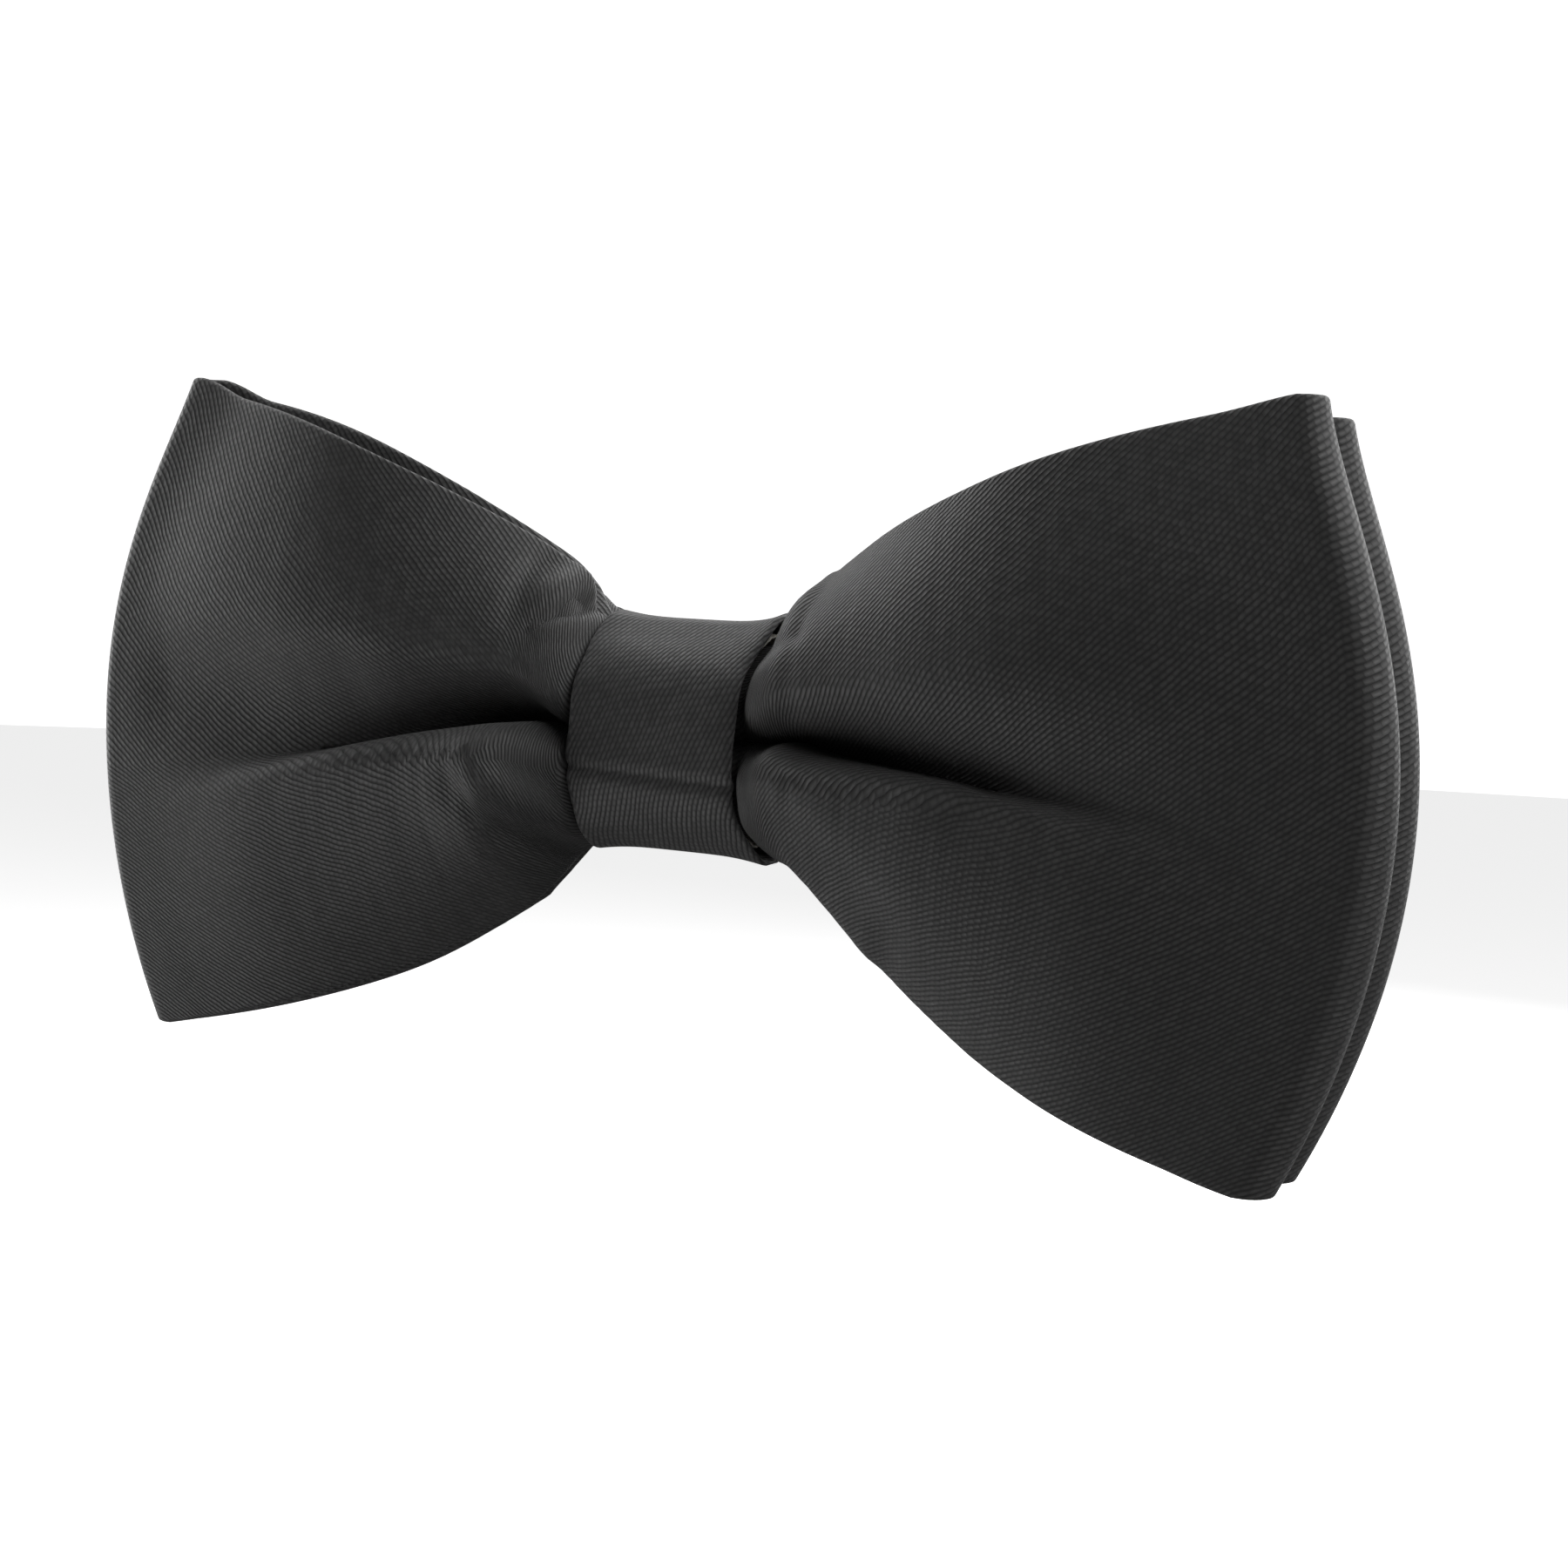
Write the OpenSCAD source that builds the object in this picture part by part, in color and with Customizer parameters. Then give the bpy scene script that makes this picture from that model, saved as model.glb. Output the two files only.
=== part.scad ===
// Clip-on bow tie: two satin sleeves laid in loops, pleated at the middle, held by a
// ribbon knot and a sprung double clip.
// +X is to the right seen from the front, +Y points back to the collar, +Z is up.
// The origin is on the clip plate's rear face, behind the middle of the knot.
// Left and right are as seen from the front.

/* [Bow] */
// Width from end to end
bow_w = 118.5; // [110:0.5:130]
// Height of the ends
end_h = 54; // [50:0.5:58]
// How far the corners sit inside the middle of an end
end_bulge = 7.25; // [4:0.25:9]
// Depth of one loop at its end fold
loop_d = 4.5; // [3.5:0.1:5]
// Thickness of a pressed sleeve with its interlining
band_t = 0.8; // [0.75:0.01:0.85]
// Thickness of the satin
satin_t = 0.18; // [0.12:0.01:0.2]

/* [Pleats] */
// Height of the pleated middle, along its middle surface
pinch_h = 12; // [11.6:0.1:13.4]
// Steepest turn of the centre pleat, in degrees
valley_lean = 74; // [66:1:76]
// Steepest turn of the top and bottom edges, in degrees
edge_lean = 60; // [50:1:66]
// Spacing of the four layers in the pleated middle
layer_pitch = 0.93; // [0.92:0.01:0.98]

/* [Knot] */
// Width of the knot ribbon
knot_w = 16; // [14:0.5:18]
// Thickness of the folded knot ribbon
ribbon_t = 0.7; // [0.6:0.05:0.9]
// Diameter of the sewing thread
thread_d = 0.4; // [0.3:0.05:0.5]

/* [Clip] */
// Length of the clip plate
plate_l = 46; // [42:1:50]
// Width of the clip plate
plate_w = 9; // [8.6:0.2:10]
// Thickness of the clip plate
plate_t = 0.8; // [0.6:0.1:0.8]
// Thickness of the jaws and ears
sheet_t = 0.7; // [0.5:0.05:0.7]
// Distance of each hinge pin from the middle
pin_x = 11.2; // [11:0.1:12]
// Hinge pin diameter
pin_d = 1.5; // [1.2:0.1:1.6]

/* [Hidden] */
satin = [0.17, 0.17, 0.17];
canvas = [0.78, 0.76, 0.70];
thread = [0.10, 0.10, 0.10];
nickel = [0.75, 0.75, 0.73];

// Pleated sheets. A section is cut across the wing; spread is 0 at the knot and 1 at the end.
half_steps = 9;
wing_steps = 5;
fold_steps = 4;
wing_l = bow_w / 2 - knot_w / 2;
end_half = end_h / 2 - band_t / 2;
pinch_half = pinch_h / 2;
// Outline: slope of the straight part, how fast it levels off, and a quick flare beside the knot
rise = 0.162;
level_off = 2.35;
flare = 2.4;
flare_by = 0.1;
// How far the knot sits above the middle of the ends, and where the wings reach that middle
lift = 0.9;
lift_by = 0.5;
// How far the wings lean forward, and by where
sweep = 0.2;
sweep_by = 0.35;
// How far the front panel stands forward midway, and the rear one back
puff = 3;
rear_puff = 0.3;
inner_puff = 0.5;
// How far the centre pleat drops by the end of a wing
valley_drop = 5;
// Share of the half width taken by the centre pleat
valley_share = 0.46;
// Where the pleats have flattened out and the layers have parted
flat_by = 0.95;
parted_by = 0.85;
// How much the edges still turn along the wing, and at its end
edge_turn = 0.92;
// Gap between a sleeve's ends behind, and room round the interlining
seam_gap = 0.3;
lining_room = 0.07;
panel_room = 0.1;
// Layer number on which the pleated middle is centred
nest_at = 1.22;

function ease(x) = let(t = min(max(x, 0), 1)) t * t * (3 - 2 * t);
function half_height(spread) =
    pinch_half + flare * ease(spread / flare_by) + rise * wing_l * spread
    + (end_half - pinch_half - flare - rise * wing_l) * (1 - pow(1 - spread, level_off));

// Turn of the cloth from upright, at a share s of the way from the centre pleat to an edge
function turn(s, spread) =
    let(open = pow(1 - ease(spread / flat_by), 0.9),
        curl = edge_turn * pow(1 - spread, 1.6) + (1 - edge_turn) * (1 - spread))
    s < valley_share
    ? valley_lean * open * sin(180 * s / valley_share)
    : -edge_lean * curl * sin(90 * (s - valley_share) / (1 - valley_share));

// Share of the half width at step i
function share(i) = i / half_steps;

// Half a section from the centre pleat to the edge, as [back, up, turn], for cloth of length 1
function half_section(spread) =
    [for (i = 0, y = 0, z = 0; i <= half_steps;
          mid = turn((share(i) + share(i + 1)) / 2, spread),
          step = share(i + 1) - share(i),
          y = y - step * sin(mid),
          z = z + step * cos(mid),
          i = i + 1)
        [y, z, turn(share(i), spread)]];

function sum(list, i = 0) = i < len(list) ? list[i] + sum(list, i + 1) : 0;

// Whole section from the bottom edge to the top edge, centred in depth and of the right height
function section(spread) =
    let(half = half_section(spread),
        low = -valley_drop * spread,
        below = (half_height(spread) + low) / half[half_steps][1],
        above = (half_height(spread) - low) / half[half_steps][1],
        mean = sum([for (p = half) p[0]]) / len(half) * (below + above) / 2)
    concat([for (i = [half_steps:-1:1]) [half[i][0] * below - mean, low - half[i][1] * below, -half[i][2]]],
           [for (p = half) [p[0] * above - mean, low + p[1] * above, p[2]]]);

// Distance along X of each section, and how far it is spread
sections = concat([[seam_gap / 2, 0], [knot_w / 2, 0], [knot_w / 2 + wing_l / 20, 1 / 20]],
                  [for (i = [1:wing_steps]) let(s = pow(i / wing_steps, 1.15)) [knot_w / 2 + s * wing_l, s]]);
shapes = [for (s = sections) section(s[1])];

// How far a layer lies ahead of (-) or behind (+) the middle of the pleated bundle, along its normal
function nested(layer, spread) = (layer - nest_at) * layer_pitch * (1 - ease(spread / parted_by));

// How far back a layer is moved as the wing opens: 0 is the front layer, 3 the rear one
function opened(layer, spread) =
    let(side = layer < 2 ? -1 : 1,
        outer = layer == 0 || layer == 3,
        ended = outer ? loop_d - band_t / 2 + panel_room : band_t / 2 + panel_room,
        most = !outer ? inner_puff : layer == 0 ? puff : rear_puff,
        puffed = most * pow(sin(180 * pow(spread, 0.8)), 1.2))
    side * (ended * ease(spread / parted_by) + puffed);

// Point j of a layer at section k, with its rearward normal, as [x, back of the bundle's middle, up]
function layer_point(layer, k, j) =
    let(spread = sections[k][1],
        p = shapes[k][j],
        d = nested(layer, spread),
        high = p[1] + d * sin(p[2]),
        out = min(abs(high) / half_height(spread), 1.1),
        x = sections[k][0] - spread * loop_d / 2 - end_bulge * pow(spread, 1.4) * pow(out, 2),
        y = p[0] + d * cos(p[2]) + opened(layer, spread) - sweep * ease(spread / sweep_by),
        z = high + lift * (1 - ease(spread / lift_by)))
    [[x, y, z], [0, cos(p[2]), sin(p[2])]];

section_points = 2 * half_steps;
last = len(sections) - 1;

// One station of a loop: a list of [point, outward normal] from the bottom edge to the top edge
function panel_station(layer, k, facing) =
    [for (j = [0:section_points]) let(p = layer_point(layer, k, j)) [p[0], facing * p[1]]];

function fold_station(loop, turned) =
    [for (j = [0:section_points])
        let(a = layer_point(2 * loop, last, j),
            b = layer_point(2 * loop + 1, last, j),
            mid = (a[0] + b[0]) / 2,
            r = (b[0][1] - a[0][1]) / 2,
            out = [sin(turned), -cos(turned), 0])
        [mid + r * out, out]];

// Half a loop, from the seam behind, round the end fold, to the middle of the front
function half_loop(loop) =
    concat([for (k = [0:last]) panel_station(2 * loop + 1, k, 1)],
           [for (i = [fold_steps - 1:-1:1]) fold_station(loop, 180 * i / fold_steps)],
           [for (k = [last:-1:1]) panel_station(2 * loop, k, -1)]);

function flip(v) = [-v[0], v[1], v[2]];
function flip_station(s) = [for (p = s) [flip(p[0]), flip(p[1])]];
function loop_stations(loop) =
    let(half = half_loop(loop), n = len(half))
    concat(half, [for (i = [n - 1:-1:0]) flip_station(half[i])]);

function unit(v) = v / norm(v);

// Closed ring round a pressed sleeve at one station, at distance t from its middle surface
function ring(s, t) =
    let(n = len(s) - 1)
    concat([for (p = s) p[0] + t * p[1]],
           [s[n][0] + t * unit(s[n][0] - s[n - 1][0])],
           [for (j = [n:-1:0]) s[j][0] - t * s[j][1]],
           [s[0][0] + t * unit(s[0][0] - s[1][0])]);

// Side walls between rings of m points; the first ring starts at point number base
function walls(rings, m, base, inward) =
    [for (k = [0:rings - 2], j = [0:m - 1])
        let(a = base + k * m + j,
            b = base + k * m + (j + 1) % m,
            quad = [a, b, b + m, a + m])
        each inward ? [[quad[0], quad[1], quad[2]], [quad[0], quad[2], quad[3]]]
                    : [[quad[0], quad[2], quad[1]], [quad[0], quad[3], quad[2]]]];

// Solid tube through a list of rings, closed at both ends by strips across the sleeve
module solid_band(rings) {
    m = len(rings[0]);
    n = m / 2 - 1;
    top = (len(rings) - 1) * m;
    cap = concat([for (j = [0:n - 2]) each [[j, m - 3 - j, j + 1], [j, m - 2 - j, m - 3 - j]]],
                 [[n - 1, n + 1, n], [0, m - 1, m - 2]]);
    faces = concat(walls(len(rings), m, 0, false),
                   [for (f = cap) [f[0], f[2], f[1]]],
                   [for (f = cap) [top + f[0], top + f[1], top + f[2]]]);
    polyhedron(points = [for (r = rings) each r], faces = faces, convexity = 10);
}

// Sleeve with an open end on each side of the seam
module hollow_band(outer, inner) {
    m = len(outer[0]);
    count = len(outer);
    shift = count * m;
    top = (count - 1) * m;
    rim = [for (j = [0:m - 1]) let(i = (j + 1) % m) each [[j, shift + j, shift + i], [j, shift + i, i]]];
    faces = concat(walls(count, m, 0, false),
                   walls(count, m, shift, true),
                   [for (f = rim) [f[0], f[2], f[1]]],
                   [for (f = rim) [top + f[0], top + f[1], top + f[2]]]);
    polyhedron(points = concat([for (r = outer) each r], [for (r = inner) each r]),
               faces = faces, convexity = 10);
}

module bow_shell(loop) {
    stations = loop_stations(loop);
    translate([0, bundle_y, 0])
        hollow_band([for (s = stations) ring(s, band_t / 2)],
                    [for (s = stations) ring(s, band_t / 2 - satin_t)]);
}

module bow_interlining(loop) {
    translate([0, bundle_y, 0])
        solid_band([for (s = loop_stations(loop)) ring(s, band_t / 2 - satin_t - lining_room)]);
}

module front_bow_shell() { color(satin) bow_shell(0); }
module rear_bow_shell() { color(satin) bow_shell(1); }
module front_bow_interlining() { color(canvas) bow_interlining(0); }
module rear_bow_interlining() { color(canvas) bow_interlining(1); }

// Knot. The bundle is the pleated middle of both bows; its extents are taken from its own outline.
// Clearance between the wrapped layers, and the knot's corner radius
gap = 0.1;
knot_r = 3;
thread_turns = 5;
lining_t = 0.3;
// Half the height of the lap behind
lap_half = 5;
bundle = concat(ring(panel_station(0, 0, -1), band_t / 2), ring(panel_station(3, 0, 1), band_t / 2));
bundle_back = max([for (p = bundle) p[1]]) + gap;
bundle_front = min([for (p = bundle) p[1]]) - gap;
bundle_half = max([for (p = bundle) p[2]]) - lift + gap;
thread_out = thread_d;
lining_out = thread_out + gap + lining_t;
wrap_out = lining_out + gap;
knot_out = wrap_out + ribbon_t;
lap_out = knot_out + ribbon_t;
bundle_y = -plate_t - gap - lap_out - bundle_back;

// Box with round corners, in (back, up), at a distance out from the bundle
function knot_outline(out, steps = 8) =
    let(y0 = bundle_front - out, y1 = bundle_back + out, h = bundle_half + out, r = knot_r + out)
    [for (c = [[y1 - r, h - r, 0], [y0 + r, h - r, 90], [y0 + r, r - h, 180], [y1 - r, r - h, 270]],
          i = [0:steps])
        let(a = c[2] + 90 * i / steps) [c[0] + r * cos(a), c[1] + r * sin(a)]];

// Flat shape drawn in (back, up), made w wide along X
module across(w, x = 0) {
    translate([x - w / 2, bundle_y, lift])
        rotate([90, 0, 90])
            linear_extrude(w)
                children();
}

module knot_layer(w, x, inner, outer) {
    across(w, x)
        difference() {
            polygon(knot_outline(outer));
            polygon(knot_outline(inner));
        }
}

// Turns of thread that bind the pleats, lying side by side
module gather_thread() {
    color(thread)
        for (i = [0:thread_turns - 1])
            knot_layer(thread_d * 0.9, (i - (thread_turns - 1) / 2) * thread_d, 0, thread_out);
}

module knot_interlining() {
    color(canvas) knot_layer(knot_w - 2, 0, lining_out - lining_t, lining_out);
}

// Ribbon round the knot, its ends lapped one over the other behind
module knot_wrap() {
    color(satin)
        union() {
            knot_layer(knot_w, 0, wrap_out, knot_out);
            across(knot_w)
                translate([bundle_back + knot_out - ribbon_t / 2, -lap_half])
                    square([ribbon_t * 1.5, 2 * lap_half]);
        }
}

lap_y = -plate_t - gap;
stitch_r = thread_d / 2;

// Stitch over the edge of the lap: a bar lying on the lap and a leg down to the ply below
module edge_stitch(x) {
    bar_l = 1.2;
    edge = lift + lap_half + stitch_r + gap / 2;
    translate([x, lap_y + stitch_r + gap / 5, edge]) {
        sphere(stitch_r, $fn = 24);
        translate([0, 0, -bar_l])
            cylinder(h = bar_l, r = stitch_r, $fn = 24);
        rotate([90, 0, 0])
            cylinder(h = ribbon_t + stitch_r, r = stitch_r, $fn = 24);
    }
}

module knot_tack_stitches() {
    color(thread)
        for (i = [-2:2])
            edge_stitch(i * knot_w / 6);
}

// Clip. The plate lies behind the knot; each jaw turns on a pin through two ears.
pin_y = 3.4;
// Running clearance of a pin, in radius
pin_room = 0.05;
jaw_half = plate_w / 2 - 0.35;
ear_half = jaw_half - sheet_t - 0.15;
ear_r = 1.7;
// Middle of the thumb lever's sheet, where the lever starts, and the toothed tip
web_y = pin_y + 3.25;
lever_x = 3.2;
tip_x = plate_l / 2 - 1;
tip_y = 0.2;
// Holes that the plate is sewn through
hole_x = 3.2;
hole_z = 2.4;
hole_r = 0.5;

module clip_plate() {
    corner = 1.5;
    color(nickel)
        difference() {
            union() {
                rotate([90, 0, 0])
                    linear_extrude(plate_t)
                        difference() {
                            plate_outline(corner);
                            for (x = [-hole_x, hole_x], z = [-hole_z, hole_z])
                                translate([x, z])
                                    circle(hole_r, $fn = 32);
                        }
                for (x = [-pin_x, pin_x], side = [-1, 1])
                    translate([x, 0, side > 0 ? ear_half - sheet_t : -ear_half])
                        linear_extrude(sheet_t)
                            ear_outline();
            }
            for (x = [-pin_x, pin_x])
                translate([x, pin_y, -plate_w])
                    cylinder(h = 2 * plate_w, d = pin_d + 2 * pin_room, $fn = 48);
        }
}

module plate_outline(corner) {
    square([plate_l - 2 * corner, plate_w], center = true);
    square([plate_l, plate_w - 2 * corner], center = true);
    for (x = [-1, 1], z = [-1, 1])
        translate([x * (plate_l / 2 - corner), z * (plate_w / 2 - corner)])
            circle(corner, $fn = 48);
}

module ear_outline() {
    translate([-ear_r, -plate_t / 2])
        square([2 * ear_r, pin_y + plate_t / 2]);
    translate([0, pin_y])
        circle(ear_r, $fn = 64);
}

// Thread that sews the plate to the back of the knot: a bar behind, a leg through each hole
module clip_stitches() {
    color(thread)
        for (x = [-hole_x, hole_x])
            translate([x, stitch_r + gap / 5, 0]) {
                translate([0, 0, -hole_z])
                    cylinder(h = 2 * hole_z, r = stitch_r, $fn = 24);
                for (z = [-hole_z, hole_z])
                    translate([0, 0, z]) {
                        sphere(stitch_r, $fn = 24);
                        rotate([90, 0, 0])
                            cylinder(h = plate_t + stitch_r + gap, r = stitch_r, $fn = 24);
                    }
            }
}

module hinge_pin(x) {
    head_r = 1.2;
    head_t = 0.3;
    head_z = jaw_half + pin_room;
    color(nickel)
        translate([x, pin_y, 0]) {
            cylinder(h = 2 * head_z + head_t, d = pin_d, center = true, $fn = 48);
            for (z = [head_z, -head_z - head_t])
                translate([0, 0, z])
                    cylinder(h = head_t, r = head_r, $fn = 48);
        }
}

module left_hinge_pin() { hinge_pin(-pin_x); }
module right_hinge_pin() { hinge_pin(pin_x); }

function bend(path, i) =
    let(n = len(path) - 1,
        before = i > 0 ? unit(path[i] - path[i - 1]) : unit(path[1] - path[0]),
        after = i < n ? unit(path[i + 1] - path[i]) : before,
        a = [-before[1], before[0]],
        b = [-after[1], after[0]])
    (a + b) / (1 + a * b);

// Outline of a sheet of thickness t whose middle follows a path
function sheet(path, t) =
    concat([for (i = [0:len(path) - 1]) path[i] + t / 2 * bend(path, i)],
           [for (i = [len(path) - 1:-1:0]) path[i] - t / 2 * bend(path, i)]);

// Right-hand jaw: thumb lever, arm down to a toothed tip, and a cheek on each side of the pin
module jaw() {
    heel = [pin_x - 1.2, web_y];
    toe = [tip_x - 1.3, 2.4];
    cheek_r = 2.1;
    cheek_end = heel + 0.7 * (toe - heel);
    teeth = 6;
    pitch = 2 * jaw_half / teeth;
    color(nickel)
        difference() {
            union() {
                translate([0, 0, -jaw_half])
                    linear_extrude(2 * jaw_half)
                        polygon(sheet([[lever_x, web_y], heel, toe, [tip_x, tip_y]], sheet_t));
                for (z = [jaw_half - sheet_t, -jaw_half])
                    translate([0, 0, z])
                        linear_extrude(sheet_t) {
                            polygon([heel, heel - [3.6, 0], [pin_x - cheek_r, pin_y],
                                     [pin_x + cheek_r * 0.6, pin_y - cheek_r * 0.8], cheek_end]);
                            translate([pin_x, pin_y])
                                circle(cheek_r, $fn = 64);
                        }
            }
            translate([pin_x, pin_y, -plate_w])
                cylinder(h = 2 * plate_w, d = pin_d + 2 * pin_room, $fn = 48);
            for (i = [0:teeth])
                translate([tip_x - 2, tip_y - 0.4, -jaw_half + i * pitch])
                    rotate([90, 0, 90])
                        linear_extrude(4)
                            polygon([[0, -0.45], [1.1, 0], [0, 0.45]]);
        }
}

module right_jaw() { jaw(); }
module left_jaw() { mirror([1, 0, 0]) jaw(); }

// Torsion spring round a hinge pin: one leg on the plate, one under the lever
wire_d = 0.5;
coil_r = 1.35;
coil_half = 2;
coil_turns = 4.5;
coil_step = 36;

function coil_point(a) =
    [pin_x + coil_r * cos(a - 90), pin_y + coil_r * sin(a - 90),
     coil_half * (2 * a / (360 * coil_turns) - 1)];
spring_path = concat([[pin_x - 2.9, wire_d / 2 + 0.1, -coil_half]],
                     [for (a = [0:coil_step:360 * coil_turns]) coil_point(a)],
                     [[pin_x - 5.2, web_y - sheet_t / 2 - wire_d / 2 - 0.1, coil_half]]);

// Ring of wire round point i of a path that never runs along Z
function wire_ring(path, i, sides = 6) =
    let(n = len(path) - 1,
        along = unit(path[min(i + 1, n)] - path[max(i - 1, 0)]),
        u = unit(cross(along, [0, 0, 1])),
        v = cross(along, u))
    [for (j = [0:sides - 1]) path[i] + wire_d / 2 * (cos(360 * j / sides) * u + sin(360 * j / sides) * v)];

module spring() {
    rings = [for (i = [0:len(spring_path) - 1]) wire_ring(spring_path, i)];
    m = len(rings[0]);
    top = (len(rings) - 1) * m;
    faces = concat(walls(len(rings), m, 0, false),
                   [[for (j = [0:m - 1]) j]],
                   [[for (j = [m - 1:-1:0]) top + j]]);
    color(nickel)
        polyhedron(points = [for (r = rings) each r], faces = faces, convexity = 10);
}

module right_spring() { spring(); }
module left_spring() { mirror([1, 0, 0]) spring(); }

front_bow_shell();
front_bow_interlining();
rear_bow_shell();
rear_bow_interlining();
gather_thread();
knot_interlining();
knot_wrap();
knot_tack_stitches();
clip_plate();
clip_stitches();
left_hinge_pin();
right_hinge_pin();
left_spring();
right_spring();
left_jaw();
right_jaw();
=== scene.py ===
# Clip-on satin bow tie: two pressed sleeves laid in loops, pleated under a ribbon knot, with a sprung
# double clip behind. X runs along the bow, Y back towards the collar and Z up. The bow's lengths are
# millimetres until a mesh is made, when they become metres; the stage and the lights are in metres.
import math

import bpy
import numpy as np
from mathutils import Matrix, Vector


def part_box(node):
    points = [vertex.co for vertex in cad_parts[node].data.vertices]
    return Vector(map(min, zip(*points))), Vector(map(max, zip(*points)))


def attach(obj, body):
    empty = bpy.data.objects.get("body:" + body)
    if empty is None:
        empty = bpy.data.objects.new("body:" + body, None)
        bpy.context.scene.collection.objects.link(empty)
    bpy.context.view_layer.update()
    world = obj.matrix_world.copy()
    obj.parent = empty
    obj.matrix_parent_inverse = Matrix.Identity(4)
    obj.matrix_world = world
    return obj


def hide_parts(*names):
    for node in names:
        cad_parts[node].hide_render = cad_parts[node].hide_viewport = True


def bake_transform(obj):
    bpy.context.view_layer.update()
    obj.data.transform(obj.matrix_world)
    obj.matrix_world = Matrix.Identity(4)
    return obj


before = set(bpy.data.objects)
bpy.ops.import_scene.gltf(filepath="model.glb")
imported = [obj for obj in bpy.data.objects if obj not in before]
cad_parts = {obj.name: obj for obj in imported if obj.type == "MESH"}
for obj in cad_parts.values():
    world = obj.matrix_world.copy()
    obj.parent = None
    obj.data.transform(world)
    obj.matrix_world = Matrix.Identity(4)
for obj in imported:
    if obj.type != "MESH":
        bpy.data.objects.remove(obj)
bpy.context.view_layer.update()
MM = 0.001

# ---------------------------------------------------------------- camera
VIEW_AZ, VIEW_EL, VIEW_ROLL = 33.2, 3.8, 2.7    # degrees round from the front, up, and of roll
VIEW_DIST = 238.1
VIEW_FOV = 28.56                                # degrees across the picture
AIM_RIGHT, AIM_UP, AIM_BACK = 7.94, -2.91, -7.1  # what the view is centred on, from the origin
SENSOR_W = 36.0


def make_camera():
    """A camera that looks at the bow from its right and from a little above."""
    az, el, roll = math.radians(VIEW_AZ), math.radians(VIEW_EL), math.radians(VIEW_ROLL)
    back = np.array([math.sin(az) * math.cos(el), -math.cos(az) * math.cos(el), math.sin(el)])
    level = np.array([math.cos(az), math.sin(az), 0.0])
    upright = np.cross(level, -back)
    right = math.cos(roll) * level + math.sin(roll) * upright
    up = -math.sin(roll) * level + math.cos(roll) * upright
    at = np.array([0.0, AIM_BACK, 0.0]) + AIM_RIGHT * right + AIM_UP * up + VIEW_DIST * back
    cam = bpy.data.cameras.new("camera")
    cam.sensor_width = SENSOR_W
    cam.lens = SENSOR_W / 2 / math.tan(math.radians(VIEW_FOV) / 2)
    cam.clip_start, cam.clip_end = 0.01, 20.0
    obj = bpy.data.objects.new("camera", cam)
    place = Matrix.Identity(4)
    for i in range(3):
        place[i] = (right[i], up[i], back[i], at[i] * MM)
    obj.matrix_world = place
    bpy.context.collection.objects.link(obj)
    bpy.context.scene.camera = obj


# ---------------------------------------------------------------- shader helpers
class Nodes:
    """Short names for building a material's nodes. An input is a number, a colour or a node's output."""

    def __init__(self, name):
        self.mat = bpy.data.materials.new(name)
        self.mat.use_nodes = True
        self.tree = self.mat.node_tree
        self.tree.nodes.clear()

    def add(self, kind, inputs=None, **props):
        node = self.tree.nodes.new(kind)
        for key, value in props.items():
            setattr(node, key, value)
        for key, value in (inputs or {}).items():
            if hasattr(value, "is_output"):
                self.tree.links.new(value, node.inputs[key])
            else:
                node.inputs[key].default_value = value
        return node

    def math(self, op, *values, clamp=False):
        return self.add("ShaderNodeMath", dict(enumerate(values)), operation=op, use_clamp=clamp).outputs[0]

    def ramp(self, x, low, high, out_low=0.0, out_high=1.0):
        return self.add("ShaderNodeMapRange", {0: x, 1: low, 2: high, 3: out_low, 4: out_high},
                        interpolation_type="SMOOTHSTEP").outputs[0]

    def mix(self, share, a, b):
        return self.add("ShaderNodeMix", {0: share, 6: a, 7: b}, data_type="RGBA").outputs[2]

    def noise(self, vector, scale, detail, rough):
        return self.add("ShaderNodeTexNoise", {"Vector": vector, "Scale": scale, "Detail": detail,
                                               "Roughness": rough}).outputs[0]

    def stretched(self, vector, scale):
        return self.add("ShaderNodeMapping", {"Vector": vector, "Scale": scale}).outputs[0]

    def cloth_uv(self):
        """The cloth's own coordinates, in millimetres: U along it and V across."""
        return self.add("ShaderNodeUVMap", uv_map="cloth").outputs[0]

    def bump(self, height, strength, distance):
        return self.add("ShaderNodeBump", {"Height": height, "Strength": strength,
                                           "Distance": distance}).outputs[0]

    def shader(self, color, rough, **sockets):
        inputs = {"Base Color": color, "Roughness": rough}
        inputs.update({key.replace("_", " "): value for key, value in sockets.items()})
        bsdf = self.add("ShaderNodeBsdfPrincipled", inputs)
        self.add("ShaderNodeOutputMaterial", {0: bsdf.outputs[0]})
        return self.mat


def grey(value, warm=0.0):
    return (value * (1 + warm), value, value * (1 - warm), 1.0)


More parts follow.
